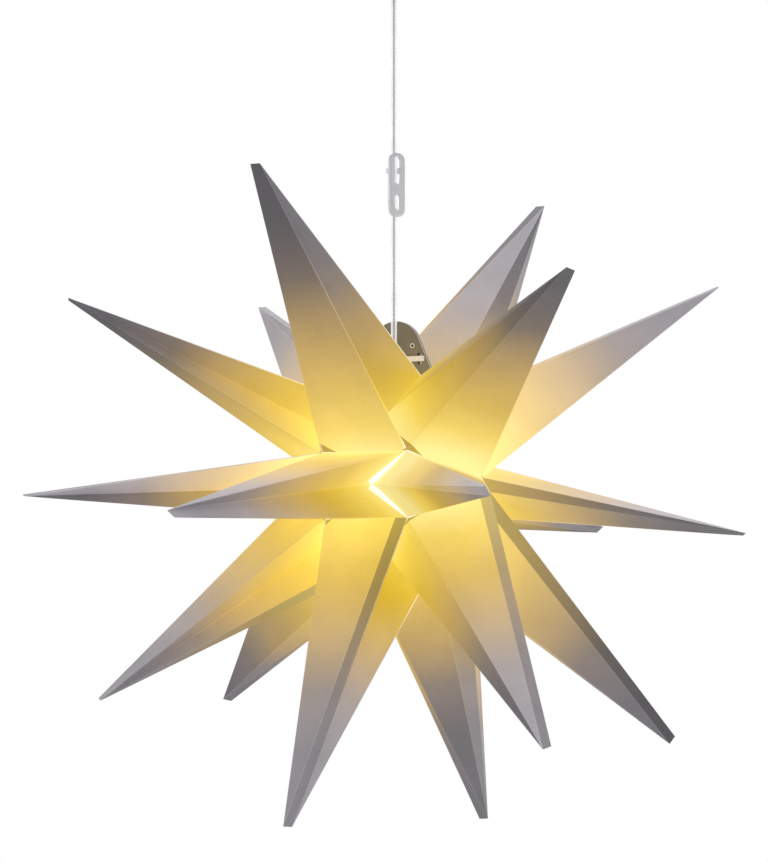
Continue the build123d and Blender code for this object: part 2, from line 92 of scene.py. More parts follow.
def make_camera():
    """Camera in front of the star, with its focal length in pixels of the picture."""
    data = bpy.data.cameras.new("camera")
    data.sensor_fit = "HORIZONTAL"
    data.sensor_width = SENSOR
    data.lens = FOCAL_PIXELS / PICTURE_WIDTH * SENSOR
    data.clip_end = VIEW_END
    camera = add_object("camera", data)
    camera.location = [c * METRE for c in CAMERA_AT]
    camera.rotation_euler = (math.radians(90 + CAMERA_TILT), 0, 0)
    bpy.context.scene.camera = camera


make_camera()


def link(name, mesh, material, body):
    """A mesh as an object at the origin that rides on a body."""
    piece = add_object(name, mesh)
    mesh.materials.append(material)
    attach(piece, body)
    return piece


# Materials
def node_material(name):
    """New node material with its nodes, its links and its surface shader."""
    material = bpy.data.materials.new(name)
    material.use_nodes = True
    tree = material.node_tree
    return material, tree.nodes, tree.links, tree.nodes["Principled BSDF"]


def ramp(n, stops, interpolation="EASE"):
    """Colour ramp through (place, colour) stops."""
    node = n.new("ShaderNodeValToRGB")
    band = node.color_ramp
    band.interpolation = interpolation
    while len(band.elements) < len(stops):
        band.elements.new(0.5)
    for element, (place, colour) in zip(band.elements, stops):
        element.position = place
        element.color = (*colour, 1)
    return node


def mix_colour(n, l, blend, factor, a, b):
    """Mix node whose factor and colours may be sockets or values."""
    node = n.new("ShaderNodeMix")
    node.data_type = "RGBA"
    node.blend_type = blend
    for slot_name, value in ((0, factor), (6, a), (7, b)):
        if isinstance(value, bpy.types.NodeSocket):
            l.new(value, node.inputs[slot_name])
        elif slot_name == 0:
            node.inputs[0].default_value = value
        else:
            node.inputs[slot_name].default_value = (*value, 1)
    return node.outputs[2]


def map_range(n, l, value, low, high, to_low=0.0, to_high=1.0):
    """A value between low and high drawn to a value between to_low and to_high."""
    node = n.new("ShaderNodeMapRange")
    l.new(value, node.inputs["Value"])
    node.inputs["From Min"].default_value = low
    node.inputs["From Max"].default_value = high
    node.inputs["To Min"].default_value = to_low
    node.inputs["To Max"].default_value = to_high
    return node.outputs["Result"]


def fade_mm(n, l, value, fade, to_low=0.0, to_high=1.0):
    """A length between two limits in millimetres drawn to a value between to_low and to_high."""
    return map_range(n, l, value, fade[0] * METRE, fade[1] * METRE, to_low, to_high)


def noise(n, l, vector, scale, detail=4.0, rough=0.55):
    """Cloudy noise round 0.5."""
    node = n.new("ShaderNodeTexNoise")
    l.new(vector, node.inputs["Vector"])
    node.inputs["Scale"].default_value = scale
    node.inputs["Detail"].default_value = detail
    node.inputs["Roughness"].default_value = rough
    return node.outputs["Fac"]


# Most of the noise lies between these two values
NOISE_SPREAD = (0.3, 0.7)


def mottle(n, l, place, scale, detail, low, high, rough=0.55):
    """Noise whose usual spread is drawn out to run from low to high."""
    return map_range(n, l, noise(n, l, place, scale, detail, rough), *NOISE_SPREAD, low, high)


def attribute(n, name):
    """A value that the mesh carries."""
    node = n.new("ShaderNodeAttribute")
    node.attribute_name = name
    return node.outputs["Fac"]


def combine(n, l, operation, *values):
    """Math node whose inputs may be sockets or numbers."""
    node = n.new("ShaderNodeMath")
    node.operation = operation
    for socket, value in zip(node.inputs, values):
        if isinstance(value, bpy.types.NodeSocket):
            l.new(value, socket)
        else:
            socket.default_value = value
    return node.outputs[0]


def product(n, l, first, *others):
    """First times each of the others in turn."""
    for other in others:
        first = combine(n, l, "MULTIPLY", first, other)
    return first


def blend_values(n, l, weight, a, b):
    """a + weight*(b - a)"""
    return combine(n, l, "MULTIPLY_ADD", weight, combine(n, l, "SUBTRACT", b, a), a)


def scale_colour(n, l, colour, level):
    """Colour times a number."""
    node = n.new("ShaderNodeVectorMath")
    node.operation = "SCALE"
    l.new(colour, node.inputs[0])
    l.new(level, node.inputs["Scale"])
    return node.outputs[0]


def grain(n, l, shader, place, scale, detail, strength, height):
    """Fine relief of a surface, its height in millimetres."""
    bump = n.new("ShaderNodeBump")
    bump.inputs["Strength"].default_value = strength
    bump.inputs["Distance"].default_value = height * METRE
    l.new(noise(n, l, place, scale, detail), bump.inputs["Height"])
    l.new(bump.outputs[0], shader.inputs["Normal"])


# Colour of the film's glow, painted lamp light shining through it, at a distance from the lamp, in
# millimetres
GLOW_REACH = 300.0
GLOW_STOPS = (
    (60, (0.76, 0.63, 0.21)), (90, (0.65, 0.46, 0.045)), (120, (0.51, 0.33, 0.012)),
    (150, (0.375, 0.23, 0.012)), (175, (0.26, 0.155, 0.012)), (190, (0.175, 0.105, 0.012)),
    (210, (0.07, 0.042, 0.012)), (230, (0.035, 0.02, 0.01)), (260, (0.0, 0.0, 0.0)),
)
# Distances between which a wall's surface goes from its near level to its far level
SURFACE_TURN = (130, 220)
FILM_GREY = (1.0, 0.95, 1.02)
# A fold catches the light on a thin line, painted lighter, a little near the core and more near the end
FOLD_LINE = (0.2, 0.7)
FOLD_LIGHT = (0.05, 0.24)
# Film behind a notch, painted with shade and a dim glow, and the painted lamp light of the bright inside,
# which dims with distance
NOTCH_GLOW = (0.38, 0.27, 0.045)
NOTCH_SHADE = (0.20, 0.14, 0.05)
INSIDE_GLOW = (1.0, 0.93, 0.66)
INSIDE_FADE = (0.0, 0.6)


def film_material():
    """Translucent film: its glow, painted lamp light shining through it, fades with distance from the lamp,
    and the surface that shows under it goes from the wall's near level to its far level, painted light and
    shade of each wall."""
    material, n, l, shader = node_material("film")
    place = n.new("ShaderNodeTexCoord").outputs["Object"]
    away = n.new("ShaderNodeVectorMath")
    away.operation = "DISTANCE"
    l.new(place, away.inputs[0])
    away.inputs[1].default_value = tuple(STAR * METRE)
    shifted = combine(n, l, "ADD", away.outputs["Value"], attribute(n, "shift"))
    reach = fade_mm(n, l, shifted, (0.0, GLOW_REACH))
    glow = ramp(n, [(d / GLOW_REACH, c) for d, c in GLOW_STOPS], "LINEAR")
    l.new(reach, glow.inputs[0])
    cloudy = mottle(n, l, place, 16, 3, 0.93, 1.07)
    speckle = mottle(n, l, place, 700, 3, 0.955, 1.045, 0.7)
    weave = product(n, l, cloudy, speckle)
    far = map_range(n, l, reach, *(d / GLOW_REACH for d in SURFACE_TURN))
    shade = blend_values(n, l, far, attribute(n, "near"), attribute(n, "far"))
    crease_line = map_range(n, l, attribute(n, "fold_mm"), *FOLD_LINE, 1.0, 0.0)
    lift = combine(n, l, "MULTIPLY_ADD", crease_line, blend_values(n, l, far, *FOLD_LIGHT), 1.0)
    film_grey = n.new("ShaderNodeRGB")
    film_grey.outputs[0].default_value = (*FILM_GREY, 1)
    surface_seen = scale_colour(n, l, film_grey.outputs[0], product(n, l, shade, weave, lift))
    glow_seen = scale_colour(n, l, glow.outputs[0], product(n, l, attribute(n, "glow"), weave, lift))
    notch = attribute(n, "notch")
    inside = product(n, l, attribute(n, "inside"), map_range(n, l, far, *INSIDE_FADE, 1.0, 0.0))
    # Behind a notch the film is painted with shade and a dim glow; the inside is painted with lamp light
    glow_seen = mix_colour(n, l, "MIX", notch, glow_seen, NOTCH_GLOW)
    glow_seen = mix_colour(n, l, "MIX", inside, glow_seen, INSIDE_GLOW)
    surface_seen = mix_colour(n, l, "MIX", notch, surface_seen, NOTCH_SHADE)
    l.new(glow_seen, shader.inputs["Emission Color"])
    shader.inputs["Emission Strength"].default_value = 1.0
    l.new(surface_seen, shader.inputs["Base Color"])
    shader.inputs["Roughness"].default_value = 0.5
    shader.inputs["Specular IOR Level"].default_value = 0.2
    grain(n, l, shader, place, 240, 4, 0.10, 0.4)
    return material


# Black painted as shade: on the plates' slot walls and in the eyelets' bores
SLOT_SHADE = (0.006, 0.005, 0.004)
BORE_SHADE = (0.004, 0.004, 0.003)


def plastic(
    name, colour, rough, clear=0.0, glow=None, cloud=0.06, painted_shading=None, painted_shading_colour=None, painted_shade=None,
):
    """Moulded plastic: soft clouding in its colour, a fine grain in its bump, an optional glow, and
    optional regions of painted light and shade in another colour and of painted black shade, given as
    functions that return their weights."""
    material, n, l, shader = node_material(name)
    place = n.new("ShaderNodeTexCoord").outputs["Object"]
    cloudy = mottle(n, l, place, 60, 3, 1 - cloud, 1 + cloud)
    level = n.new("ShaderNodeCombineColor")
    for socket in level.inputs[:3]:
        l.new(cloudy, socket)
    seen = mix_colour(n, l, "MULTIPLY", 1.0, colour, level.outputs[0])
    weight = painted_shading(n, l, place) if painted_shading else None
    if painted_shading:
        seen = mix_colour(n, l, "MIX", weight, seen, painted_shading_colour)
    if painted_shade:
        seen = mix_colour(n, l, "MIX", painted_shade(n, l, place), seen, SLOT_SHADE)
    l.new(seen, shader.inputs["Base Color"])
    l.new(mottle(n, l, place, 140, 4, rough * 0.85, min(1.0, rough * 1.2)), shader.inputs["Roughness"])
    shader.inputs["Transmission Weight"].default_value = clear
    if glow:
        glowing = mix_colour(n, l, "MULTIPLY", 1.0, glow, level.outputs[0])
        if painted_shading:
            glowing = mix_colour(n, l, "MIX", weight, glowing, (0, 0, 0))
        l.new(glowing, shader.inputs["Emission Color"])
        shader.inputs["Emission Strength"].default_value = 1.0
    grain(n, l, shader, place, 500, 3, 0.08, 0.3)
    return material


def metal(name, colour, rough, painted_shading=None):
    """Plated metal with fine rubbed streaks and an optional hollow painted dark as shade."""
    material, n, l, shader = node_material(name)
    place = n.new("ShaderNodeTexCoord").outputs["Object"]
    l.new(mottle(n, l, place, 300, 5, rough * 0.7, rough * 1.4, 0.7), shader.inputs["Roughness"])
    stained = ramp(n, [(0.2, [c * 0.85 for c in colour]), (0.8, colour)])
    l.new(noise(n, l, place, 90, 3), stained.inputs[0])
    seen = stained.outputs[0]
    if painted_shading:
        seen = mix_colour(n, l, "MIX", painted_shading(n, l, place), seen, BORE_SHADE)
    l.new(seen, shader.inputs["Base Color"])
    shader.inputs["Metallic"].default_value = 1.0
    return material


# Slots and eyelets of the plates' tongues: their places beside the middle and above the star's centre
SLOT_ASIDE = 20.3
SLOT_RISE = 104.3
SLOT_SQUASH = 0.36
EYELET_ASIDE = 14.5
EYELET_RISE = 114.5
# Distances over which the plates' edges, their slots' walls, the eyelets' bores and the cord's groove end
EDGE_FADE = (PLATE / 2 - 0.02, PLATE / 2 - 0.01)
RIM_FADE = (1.7, 1.8)
WALL_FADE = (1.55, 1.6)
BORE_FADE = (0.98, 1.02)
GROOVE_FADE = (0.35, 0.85)


def plate_place(n, l, place):
    """Places in the plates' own frame, in metres from the star's centre: across, out, up."""
    from_star = n.new("ShaderNodeVectorMath")
    from_star.operation = "SUBTRACT"
    l.new(place, from_star.inputs[0])
    from_star.inputs[1].default_value = tuple(STAR * METRE)
    sockets = []
    for axis in (plate_across, plate_normal, (0, 0, 1)):
        dot = n.new("ShaderNodeVectorMath")
        dot.operation = "DOT_PRODUCT"
        l.new(from_star.outputs[0], dot.inputs[0])
        dot.inputs[1].default_value = tuple(axis)
        sockets.append(dot.outputs["Value"])
    return sockets


def size_of(n, l, value):
    """A value without its sign."""
    return combine(n, l, "ABSOLUTE", value)


def past(n, l, value, middle):
    """How far a length in metres lies past a middle in millimetres."""
    return combine(n, l, "SUBTRACT", value, middle * METRE)


def slot_distance(n, l, across, up):
    """Distance from the middle of the nearer slot, which is taller than wide: its height counts less."""
    beside = size_of(n, l, past(n, l, size_of(n, l, across), SLOT_ASIDE))
    above = product(n, l, size_of(n, l, past(n, l, up, SLOT_RISE)), SLOT_SQUASH)
    return combine(n, l, "MAXIMUM", beside, above)


def plate_edges(n, l, place):
    """Weight of the plates' cut edges, which lie between their flat faces and are painted paler, as light
    that catches them.
    """
    across, out, up = plate_place(n, l, place)
    off_middle = size_of(n, l, past(n, l, size_of(n, l, out), (FILM_GAP + PLATE) / 2))
    edge = fade_mm(n, l, off_middle, EDGE_FADE, 1.0, 0.0)
    return product(n, l, edge, fade_mm(n, l, slot_distance(n, l, across, up), RIM_FADE))


def slot_walls(n, l, place):
    """Weight of the plates' cut edges inside their slots, painted black as shade."""
    across, _, up = plate_place(n, l, place)
    return fade_mm(n, l, slot_distance(n, l, across, up), WALL_FADE, 1.0, 0.0)


def eyelet_hollow(n, l, place):
    """Weight of the eyelets' bores, painted black as shade: within 1 mm of either axis."""
    across, _, up = plate_place(n, l, place)
    side = past(n, l, size_of(n, l, across), EYELET_ASIDE)
    rise = past(n, l, up, EYELET_RISE)
    square = combine(n, l, "ADD", product(n, l, side, side), product(n, l, rise, rise))
    return fade_mm(n, l, combine(n, l, "SQRT", square), BORE_FADE, 1.0, 0.0)


def cord_groove(n, l, place):
    """Weight of the groove between the cord's two cores, painted darker as shade."""
    apart = n.new("ShaderNodeSeparateXYZ")
    l.new(place, apart.inputs[0])
    return fade_mm(n, l, size_of(n, l, apart.outputs[0]), GROOVE_FADE, 1.0, 0.0)


film = film_material()
# The cord's glow is painted light, and its groove is painted darker as shade
cord_plastic = plastic(
    "cord_plastic", (0.90, 0.90, 0.92), 0.3, clear=0.45, glow=(0.22, 0.22, 0.23), painted_shading=cord_groove,
    painted_shading_colour=(0.45, 0.45, 0.47),
)
lead_plastic = plastic("lead_plastic", (0.80, 0.80, 0.81), 0.35)
# The hanger's faint glow is painted light
hanger_plastic = plastic("hanger_plastic", (0.80, 0.80, 0.83), 0.3, clear=0.4, glow=(0.05, 0.05, 0.05))
# White plates: their dark olive is painted shade, their cut edges are painted paler where light catches them,
# and their slot walls are painted black as shade
plate_plastic = plastic(
    "plate_plastic", (0.27, 0.24, 0.18), 0.45, cloud=0.10, painted_shading=plate_edges, painted_shading_colour=(0.60, 0.56, 0.50),
    painted_shade=slot_walls,
)
# The clip's glow is painted light
clip_plastic = plastic("clip_plastic", (0.85, 0.82, 0.80), 0.35, glow=(0.18, 0.15, 0.12))
white_plastic = plastic("white_plastic", (0.74, 0.74, 0.73), 0.35)
cover_plastic = plastic("cover_plastic", (0.80, 0.80, 0.79), 0.28)
driver_plastic = plastic("driver_plastic", (0.70, 0.70, 0.69), 0.5)
# The lamp cap's and body's glow is painted lamp light
lamp_plastic = plastic("lamp_plastic", (0.78, 0.77, 0.73), 0.4, glow=(0.25, 0.19, 0.08))
opal = plastic("opal", (0.85, 0.82, 0.74), 0.3, glow=(1.0, 0.90, 0.62), cloud=0.02)
# The board's glow is painted light of its LEDs
board_coat = plastic("board_coat", (0.75, 0.75, 0.72), 0.4, glow=(0.9, 0.8, 0.5))
phosphor = plastic("phosphor", (0.9, 0.72, 0.3), 0.25, glow=(1.0, 0.92, 0.66))
eyelet_metal = metal("eyelet_metal", (0.80, 0.79, 0.76), 0.3, painted_shading=eyelet_hollow)
screw_metal = metal("screw_metal", (0.75, 0.75, 0.77), 0.3)

NODE_FINISH = {
    "closing_plate_front": plate_plastic, "closing_plate_back": plate_plastic,
    "plate_eyelets": eyelet_metal, "plate_clip": clip_plastic, "cord_hanger": hanger_plastic,
    "cord_stop": white_plastic, "rose_base": white_plastic, "rose_cover": cover_plastic,
    "rose_gland": white_plastic, "gland_nut": white_plastic, "cover_screws": screw_metal,
    "led_driver": driver_plastic, "terminal_block": white_plastic, "supply_lead": lead_plastic,
    "lamp_lead": lead_plastic, "lamp_cap": lamp_plastic, "lamp_body": lamp_plastic,
    "led_board": board_coat, "leds": phosphor, "lamp_diffuser": opal,
}
for node_name, finish in NODE_FINISH.items():
    node_mesh = nodes[node_name].data
    node_mesh.materials.clear()
    node_mesh.materials.append(finish)


# Cord
CORD_TOP = CORD_HEAD - PIVOT_DROP
CORD_FOOT = -377.0
CORD_ROUTE = [(0, 0, CORD_TOP), (0, 0, -60), (0, 0, -150), (0, 0, -250), (0, 0, -340), (0, 0, CORD_FOOT)]
CORD_SIDES = 48
CURVE_STEPS = 16
CURVE_ORDER = 3
WEB_SHARE = 0.55


def route_points(route):
    """Points along the NURBS curve that has the route as its control points."""
    curve = bpy.data.curves.new("route", "CURVE")
    curve.dimensions = "3D"
    curve.resolution_u = CURVE_STEPS
    spline = curve.splines.new("NURBS")
    spline.points.add(len(route) - 1)
    controls = np.ones((len(route), 4))
    controls[:, :3] = np.array(route, float) * METRE
    spline.points.foreach_set("co", controls.ravel())
    spline.order_u = CURVE_ORDER
    spline.use_endpoint_u = True
    holder = bpy.data.objects.new("route", curve)
    mesh = bpy.data.meshes.new_from_object(holder)
    points = np.empty(len(mesh.vertices) * 3)
    mesh.vertices.foreach_get("co", points)
    bpy.data.objects.remove(holder)
    bpy.data.curves.remove(curve)
    bpy.data.meshes.remove(mesh)
    return points.reshape(-1, 3)


def twin_profile(width, thick, count):
    """Outline of two round cores side by side: r(angle) is the farther of the two circles' edges,
    with the groove between them filled to a narrow web."""
    angle = np.linspace(0, 2 * np.pi, count, endpoint=False)
    strand = thick / 2
    offset = width / 2 - strand
    c, s = np.abs(np.cos(angle)), np.abs(np.sin(angle))
    within = np.maximum(strand ** 2 - (offset * s) ** 2, 0)
    circle = offset * c + np.sqrt(within)
    web = strand * WEB_SHARE / np.maximum(s, 1e-6)
    radius = np.where(offset * s < strand, circle, 0)
    radius = np.maximum(radius, np.minimum(web, strand))
    return np.stack([radius * np.cos(angle), radius * np.sin(angle)], 1)


def tube_mesh(name, path, profile):
    """Profile carried along a path of points whose frame keeps X and Y: a closed tube with flat ends."""
    count, rings = len(profile), len(path)
    verts = np.concatenate([
        np.concatenate([path[:, None, :2] + profile[None], np.repeat(path[:, None, 2:], count, 1)], 2)
        .reshape(-1, 3), path[:1], path[-1:],
    ])
    i = np.arange(count)
    j = (i + 1) % count
    k = np.arange(rings - 1)[:, None] * count
    sides = np.stack([k + i, k + count + i, k + count + j, k + j], -1).reshape(-1, 4)
    top, foot = np.full(count, rings * count), np.full(count, rings * count + 1)
    last = (rings - 1) * count
    caps = np.concatenate([np.stack([top, i, j], 1), np.stack([foot, last + j, last + i], 1)])
    mesh = bpy.data.meshes.new(name)
    mesh.from_pydata(verts.tolist(), [], sides.tolist() + caps.tolist())
    mesh.update()
    return mesh


def make_cord():
    """The flat twin cord, straight down from its stop to the lamp."""
    path = route_points(CORD_ROUTE)
    profile = twin_profile(CORD_WIDTH * METRE, CORD_THICK * METRE, CORD_SIDES)
    mesh = tube_mesh("cord_twin", path, profile)
    for polygon in mesh.polygons:
        polygon.use_smooth = True
    piece = link("cord_twin", mesh, cord_plastic, "cord")
    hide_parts("cord")


make_cord()


# Film star
SEAM_AZIMUTHS = (-54.4, 5.8, 65, 123.3, 185.0, 245)
MOUTH_AZIMUTHS = (-40.1, 30.4, 65, 121.2, 209.8, 245)
CLOSING_SEAMS = (2, 5)
UPPER_REACH_SHARES = (1.008, 0.959, 1.017, 1.02, 1.0, 1.008)
LOWER_REACH_SHARES = (0.955, 1.069, 1.112, 1.016, 1.004, 1.273)
TOP_SHARE = (0.72, 1.0, 0.735, 0.771, 0.978, 0.804)
UPPER_SHARE = (0.334, 0.339, 0.134, 0.305, 0.301, 0.201)
LOWER_SHARE = (-0.22, -0.216, 0.009, -0.177, -0.236, -0.037)
BOTTOM_SHARE = (-0.535, -0.812, -0.618, -0.629, -0.813, -0.69)
SIDES = ("front_left", "front_right", "right", "back_right", "back_left", "left")
# Azimuth, elevation and share of the reach of each point's end
POINT_ENDS = {
    "upper": (
        (-31.7, 49.9, 1.035), (27.9, 30.2, 1.007), (95.6, 32.9, 1.041),
        (133.0, 56.1, 1.0), (-150.3, 36.0, 0.983), (-79.9, 30.1, 1.007),
    ),
    "middle": (
        (-32.3, -4.3, 0.993), (11.7, -1.5, 0.993), (66.9, -6.8, 0.952),
        (142.2, -4.4, 0.993), (-145.0, 0.3, 0.99), (-92.4, -0.0, 1.0),
    ),
    "lower": (
        (-27.9, -55.2, 1.007), (26.3, -38.2, 1.007), (103.6, -40.6, 1.014),
        (148.5, -62.3, 1.007), (-142.5, -35.5, 0.986), (-75.5, -34.0, 0.952),
    ),
}
SEAMS = len(SEAM_AZIMUTHS)


def ring(radius, azimuths, shares, reach_shares=(1.0,) * SEAMS):
    """Corners of one ring of the core, from the star's centre."""
    return np.array([
        direction(a) * radius * r + np.array([0, 0, CORE_HEIGHT * h])
        for a, h, r in zip(azimuths, shares, reach_shares)
    ])


RINGS = {
    "top": ring(MOUTH_RADIUS, MOUTH_AZIMUTHS, TOP_SHARE),
    "high": ring(WAIST_RADIUS, SEAM_AZIMUTHS, UPPER_SHARE, UPPER_REACH_SHARES),
    "low": ring(WAIST_RADIUS, SEAM_AZIMUTHS, LOWER_SHARE, LOWER_REACH_SHARES),
    "foot": ring(MOUTH_RADIUS, MOUTH_AZIMUTHS, BOTTOM_SHARE),
}
TIERS = {"upper": ("high", "top"), "middle": ("low", "high"), "lower": ("foot", "low")}
# Lower points with a strip of even width that runs from beside this corner out to the blunt end
STRIP_CORNERS = {
    ("lower", "front_left"): ("low", 1), ("lower", "front_right"): ("low", 2), ("lower", "right"): ("low", 2),
}
STRIP_WIDTH = 10.5
# Points whose blunt end lies along another base edge than their tier's: the edge's first corner
BLUNT_EDGES = {("middle", "right"): ("low", 2), ("middle", "left"): ("low", 5)}

# Notch at a base corner: run along each base edge and rise up the fold
USUAL_NOTCH = (1.2, 1.2)
NO_NOTCH = (0.5, 0.0)
NOTCHES = {
    ("upper", "front_left", "high", 1): (4.5, 2.0),
    ("upper", "front_right", "high", 1): (15.0, 8.0),
    ("upper", "front_left", "high", 0): (13.0, 9.0),
    ("lower", "front_left", "low", 0): (6.0, 6.5),
    ("lower", "front_right", "low", 1): (13.0, 3.5),
}
# Slit along a side seam: how far the film's edge stands back from it
SLITS = {("middle", "front_left", 1): 9.0, ("middle", "front_right", 1): 7.0}


def crease(ring_a, ring_b, seam):
    """Side crease of a seam: the middle of its straight line, turned round the axis."""
    middle = (RINGS[ring_a][seam] + RINGS[ring_b][seam]) / 2
    a = math.radians(-CREASE_TURN)
    turn = np.array([[math.cos(a), -math.sin(a), 0], [math.sin(a), math.cos(a), 0], [0, 0, 1]])
    return turn @ middle


def outline(tier, seam):
    """Base corners of a point with their names, counterclockwise from outside."""
    low, high = TIERS[tier]
    after = (seam + 1) % SEAMS
    corners = [((low, seam), RINGS[low][seam]), ((low, after), RINGS[low][after])]
    if after not in CLOSING_SEAMS:
        corners.append((("crease", after), crease(low, high, after)))
    corners += [((high, after), RINGS[high][after]), ((high, seam), RINGS[high][seam])]
    if seam not in CLOSING_SEAMS:
        corners.append((("crease", seam), crease(low, high, seam)))
    names = [name for name, place in corners]
    places = [place for name, place in corners]
    strip = STRIP_CORNERS.get((tier, SIDES[seam]))
    if strip:
        k = names.index(strip)
        ahead = places[(k + 1) % len(places)] - places[k]
        places.insert(k + 1, places[k] + ahead / np.linalg.norm(ahead) * STRIP_WIDTH)
        names.insert(k + 1, ("strip", strip[1]))
    return names, np.array(places)


def turn_step(places, edge):
    """Step round the outline, from the blunt edge, to the corner that lies farthest across it."""
    count = len(places)
    along = places[(edge + 1) % count] - places[edge]
    order = [(edge + 1 + k) % count for k in range(count)]
    away = [np.linalg.norm(np.cross(places[order[k]] - places[edge], along)) for k in range(count - 1)]
    return int(np.argmax(away[1:])) + 1


# Quads of a wall along its length, with closer rows near the core, and across its base edge
ROWS = 26
ROW_CROWDING = 1.2
COLUMN_PLACES = 9
HEM_ROWS = 2
# A notch's run takes up at most this share of its base edge
NOTCH_SHARE = 0.4
# Film behind a notch or a slit lies this far inside
RECESS = 0.8
# Distance from a fold that recessed film and hems carry, so that no fold line shows on them
FOLD_FREE = 5.0
# Swell of a wall as a share of its width, and the height, count and start of its slow wave
SWELLS = (-0.010, 0.014)
WAVE_HEIGHTS = (0.1, 0.45)
WAVE_COUNTS = (2, 5)
WAVE_STARTS = (0, 6)
# Both start at the base edge and reach their full height at 1/12 of the wall's length
FULL_SWELL = 12


def base_places(length, notch_a, notch_b):
    """Places along a base edge, closer together at its notches and its ends."""
    runs = [min(n[0], length * NOTCH_SHARE) / max(length, 1e-6) for n in (notch_a, notch_b)]
    inner = np.linspace(runs[0], 1 - runs[1], COLUMN_PLACES)
    return np.unique(np.concatenate([[0, runs[0] / 2], inner, [1 - runs[1] / 2, 1]]).round(6))


def raised(s, length, notch_a, notch_b, slit):
    """How far the film's edge stands back from the seam at place s:
    notch h*(1 - d/run) from each corner, and slit w*x^0.7*min(1, 9(1-x)), x rising toward the crease."""
    d = s * length
    notch = np.maximum(0, 1 - d / notch_a[0]) * notch_a[1]
    notch = notch + np.maximum(0, 1 - (length - d) / notch_b[0]) * notch_b[1]
    width, toward_b = slit
    x = s if toward_b else 1 - s
    gap = width * np.maximum(x, 0) ** 0.7 * np.minimum(1, 9 * (1 - x))
    return notch, gap


def wall_grid(a, b, p, q, notch_a, notch_b, slit, pillow, wave):
    """Wall from the base edge a-b to the end edge p-q, as rows of points.
    Rows 0 and 1 are the film behind the notches, recessed along the normal n; from row 2 on
    P(s,t) = (1-t)*B(s) + t*E(s) + n*bulge, where B is the base line drawn back by its notches and
    bulge is 4s(1-s)*min(1, 12t)*(pillow*width(t)*(1-t)^0.5 + height*sin(pi*t*waves + start)*(1-t)).
    With it come each point's distance from the nearer fold, and for each column 1 where the film
    stands back by a slit and 0 where it does by a notch."""
    length = np.linalg.norm(b - a)
    s = base_places(length, notch_a, notch_b)
    notch, gap = raised(s, length, notch_a, notch_b, slit)
    s3 = s[None, :, None]
    t = (np.linspace(0, 1, ROWS + 1) ** ROW_CROWDING)[:, None, None]
    line = a + s3[0] * (b - a)
    end_line = p + s3[0] * (q - p)
    reach = end_line - line
    ahead = reach / np.linalg.norm(reach, axis=-1, keepdims=True)
    drawn = line + ahead * (notch + gap)[:, None]
    middle = (a + b) / 2
    normal = np.cross(b - a if length > 1e-6 else q - p, (p + q) / 2 - middle)
    normal = normal / np.linalg.norm(normal)
    points = (1 - t) * drawn + t * end_line
    width = (1 - t) * length + t * np.linalg.norm(q - p)
    arch = 4 * s3 * (1 - s3)
    ease = np.minimum(1, t * FULL_SWELL)
    swell = pillow * width * arch * (1 - t) ** 0.5 * ease
    height, waves, start = wave
    ripple = height * arch * np.sin(np.pi * t * waves + start) * ease * (1 - t)
    points = points + normal * (swell + ripple)
    sunk = -normal * np.minimum(RECESS, (notch + gap) / 2)[:, None]
    points = np.concatenate([[line + sunk], [drawn + sunk], points])
    edge = (width * np.minimum(s3, 1 - s3))[:, :, 0]
    fold = np.concatenate([np.full((2, len(s)), FOLD_FREE), edge])
    cells = (notch[:-1] + notch[1:]) < (gap[:-1] + gap[1:]) + 1e-6
    return points, fold, cells.astype(float)


def hem_grid(edge, share):
    """Hem behind a base edge: P(u) = edge*(1 - u*(1 - share)), drawn toward the star's centre."""
    u = np.linspace(0, 1, HEM_ROWS + 1)[:, None, None]
    return edge[None] * (1 - u * (1 - share))


def grid_faces(rows, columns, start, flip):
    """Quads of a grid of rows by columns points, numbered from start."""
    k = np.arange(rows)[:, None] * (columns + 1)
    c = np.arange(columns)
    quads = np.stack([k + c, k + c + 1, k + columns + 2 + c, k + columns + 1 + c], -1).reshape(-1, 4) + start
    return quads[:, ::-1] if flip else quads


# Values that each face of the film carries, and those of a hem's faces
FACE_VALUES = ("near", "far", "glow", "shift", "inside", "notch")
# A hem carries the painted lamp light of the inside
HEM_VALUES = (0.3, 0.3, 1.0, 0.0, 1.0, 0.0)
# Doubles closer than this are merged, and edges shorter than this are dropped
MERGE = 0.01
SHORTEST = 0.005
# Stretch before a point's end over which the film thins out, and its least share there
TIP_RUN = 30.0
TIP_SHARE = 0.05


def merged(verts, faces, fold, values):
    """The sheet with its doubles merged."""
    mesh = bpy.data.meshes.new("sheet")
    mesh.from_pydata(verts.tolist(), [], faces.tolist())
    mesh.attributes.new("fold_mm", "FLOAT", "POINT").data.foreach_set("value", fold)
    for name, column in zip(FACE_VALUES, values.T):
        mesh.attributes.new(name, "FLOAT", "FACE").data.foreach_set("value", np.ascontiguousarray(column))
    bm = bmesh.new()
    bm.from_mesh(mesh)
    bmesh.ops.remove_doubles(bm, verts=bm.verts, dist=MERGE)
    bmesh.ops.dissolve_degenerate(bm, edges=bm.edges, dist=SHORTEST)
    bm.to_mesh(mesh)
    bm.free()
    mesh.update()
    return mesh


def read_values(mesh, name, count):
    """Values of a mesh's attribute as an array."""
    values = np.empty(count, np.float32)
    mesh.attributes[name].data.foreach_get("value", values)
    return values


